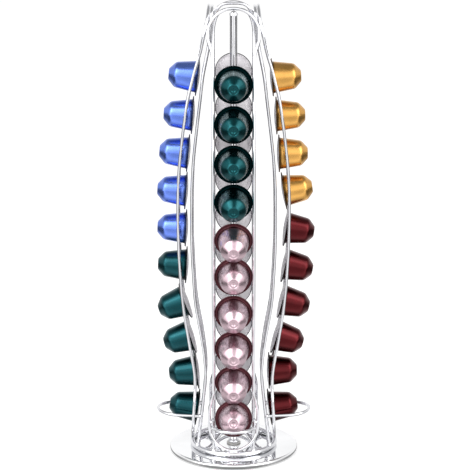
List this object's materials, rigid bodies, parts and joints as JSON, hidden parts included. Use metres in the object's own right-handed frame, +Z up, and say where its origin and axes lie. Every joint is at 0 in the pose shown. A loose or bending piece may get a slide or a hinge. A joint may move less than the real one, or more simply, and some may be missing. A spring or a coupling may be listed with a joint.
{
  "type": "coffee capsule dispenser",
  "caption": "Chromed wire tower that turns on a round mirror base, with four columns that store coffee capsules nose outward and give them out one by one from wire trays at the bottom.",
  "frame": {"origin": "centre of the underside of the foot pad, on the tower's axis", "axes": "+Z up along the tower's axis, -Y towards the front column, +X towards the right column"},
  "size_m": [0.1574, 0.1607, 0.4515],
  "materials": {
    "chrome_wire": "polished chrome plating on steel wire",
    "pole_chrome": "polished chrome plating on tube",
    "mirror_chrome": "mirror polish",
    "steel": "turned steel",
    "foam_rubber": "matt foam rubber",
    "white_nylon": "moulded nylon",
    "capsule_green": "satin lacquered aluminium",
    "capsule_rose": "satin lacquered aluminium",
    "capsule_gold": "satin lacquered aluminium",
    "capsule_red": "satin lacquered aluminium",
    "capsule_silver": "satin aluminium",
    "capsule_violet": "satin lacquered aluminium",
    "capsule_blue": "satin lacquered aluminium",
    "capsule_teal": "satin lacquered aluminium"
  },
  "bodies": {
    "base": {"foot_pad": "foam_rubber", "base_disc": "mirror_chrome", "spindle_bolt": "steel", "bearing_washer": "white_nylon"},
    "tower": {"center_pole": "pole_chrome", "pole_cap": "pole_chrome", "base_ring": "chrome_wire", "ring_spider": "chrome_wire", "front_outer_loop": "chrome_wire", "front_inner_rail": "chrome_wire", "front_tray": "chrome_wire", "front_capsule_01": "capsule_green", "front_capsule_02": "capsule_green", "front_capsule_03": "capsule_green", "front_capsule_04": "capsule_green", "front_capsule_05": "capsule_rose", "front_capsule_06": "capsule_rose", "front_capsule_07": "capsule_rose", "front_capsule_08": "capsule_rose", "front_capsule_09": "capsule_rose", "right_outer_loop": "chrome_wire", "right_inner_rail": "chrome_wire", "right_tray": "chrome_wire", "right_capsule_01": "capsule_gold", "right_capsule_02": "capsule_gold", "right_capsule_03": "capsule_gold", "right_capsule_04": "capsule_gold", "right_capsule_05": "capsule_red", "right_capsule_06": "capsule_red", "right_capsule_07": "capsule_red", "right_capsule_08": "capsule_red", "right_capsule_09": "capsule_red", "back_outer_loop": "chrome_wire", "back_inner_rail": "chrome_wire", "back_tray": "chrome_wire", "back_capsule_01": "capsule_silver", "back_capsule_02": "capsule_silver", "back_capsule_03": "capsule_silver", "back_capsule_04": "capsule_silver", "back_capsule_05": "capsule_violet", "back_capsule_06": "capsule_violet", "back_capsule_07": "capsule_violet", "back_capsule_08": "capsule_violet", "back_capsule_09": "capsule_violet", "left_outer_loop": "chrome_wire", "left_inner_rail": "chrome_wire", "left_tray": "chrome_wire", "left_capsule_01": "capsule_blue", "left_capsule_02": "capsule_blue", "left_capsule_03": "capsule_blue", "left_capsule_04": "capsule_blue", "left_capsule_05": "capsule_blue", "left_capsule_06": "capsule_teal", "left_capsule_07": "capsule_teal", "left_capsule_08": "capsule_teal", "left_capsule_09": "capsule_teal"},
    "front_lowest_capsule": {"front_capsule_10": "capsule_rose"},
    "right_lowest_capsule": {"right_capsule_10": "capsule_red"},
    "back_lowest_capsule": {"back_capsule_10": "capsule_violet"},
    "left_lowest_capsule": {"left_capsule_10": "capsule_teal"}
  },
  "joints": [
    {"name": "tower_turn", "type": "hinge", "parent": "base", "child": "tower", "pos_m": [0, 0, 0.006], "axis": [0, 0, 1], "continuous": true},
    {"name": "front_capsule_pull", "type": "slide", "parent": "tower", "child": "front_lowest_capsule", "axis": [0, -0.9985, 0.0541], "range_m": [0, 0.008]},
    {"name": "right_capsule_pull", "type": "slide", "parent": "tower", "child": "right_lowest_capsule", "axis": [0.9985, 0, 0.0541], "range_m": [0, 0.008]},
    {"name": "back_capsule_pull", "type": "slide", "parent": "tower", "child": "back_lowest_capsule", "axis": [0, 0.9985, 0.0541], "range_m": [0, 0.008]},
    {"name": "left_capsule_pull", "type": "slide", "parent": "tower", "child": "left_lowest_capsule", "axis": [-0.9985, 0, 0.0541], "range_m": [0, 0.008]}
  ]
}
